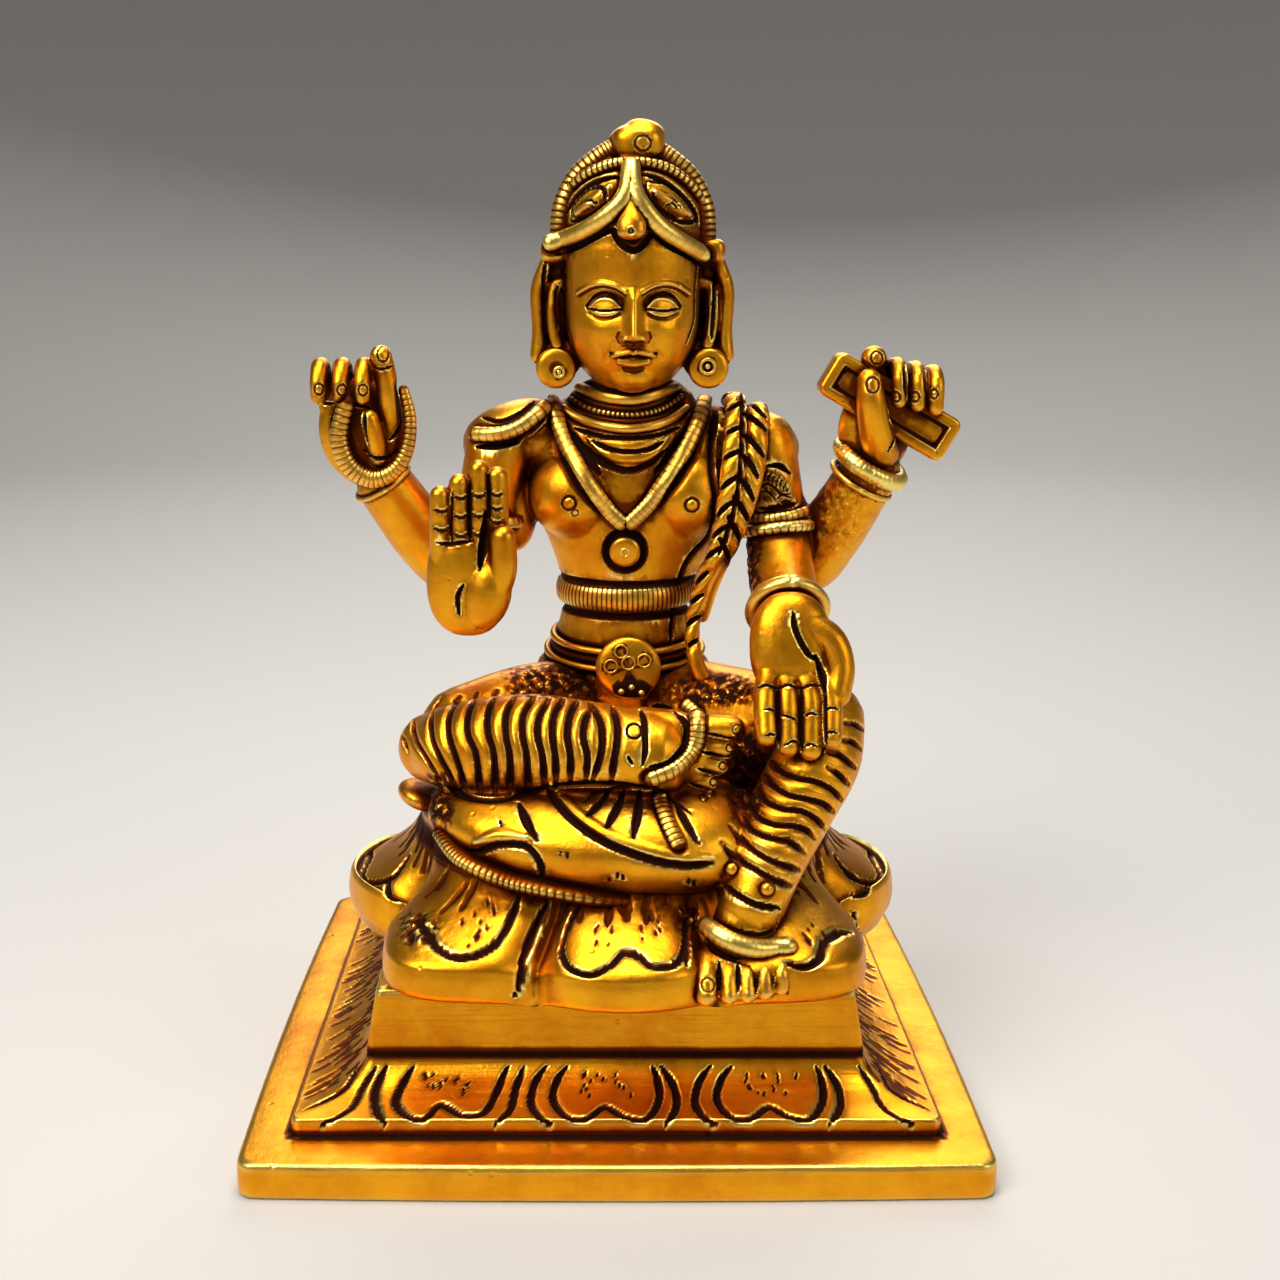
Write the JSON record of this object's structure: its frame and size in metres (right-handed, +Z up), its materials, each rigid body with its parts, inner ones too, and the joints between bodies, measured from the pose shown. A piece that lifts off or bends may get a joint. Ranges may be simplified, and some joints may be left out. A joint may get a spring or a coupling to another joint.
{
  "type": "goddess idol",
  "caption": "Four-armed goddess in patinated brass, seated on a lotus with one foot down, holding a rosary and a palm-leaf book, on a stepped plinth with carved petals",
  "frame": {"origin": "the middle of the underside of the plinth's plate, on the surface the idol stands on", "axes": "+Z up; the goddess faces -Y; +X is on her left-hand side"},
  "size_m": [0.114, 0.104, 0.1564],
  "materials": {
    "figure_brass": "golden brass, burnished on the high places, with brown to black patina in the carving",
    "plinth_brass": "golden brass with file marks, satin on the plate, brown patina in the petal carving"
  },
  "bodies": {
    "root": {"plinth": "plinth_brass", "goddess_on_lotus": "figure_brass"}
  },
  "joints": []
}
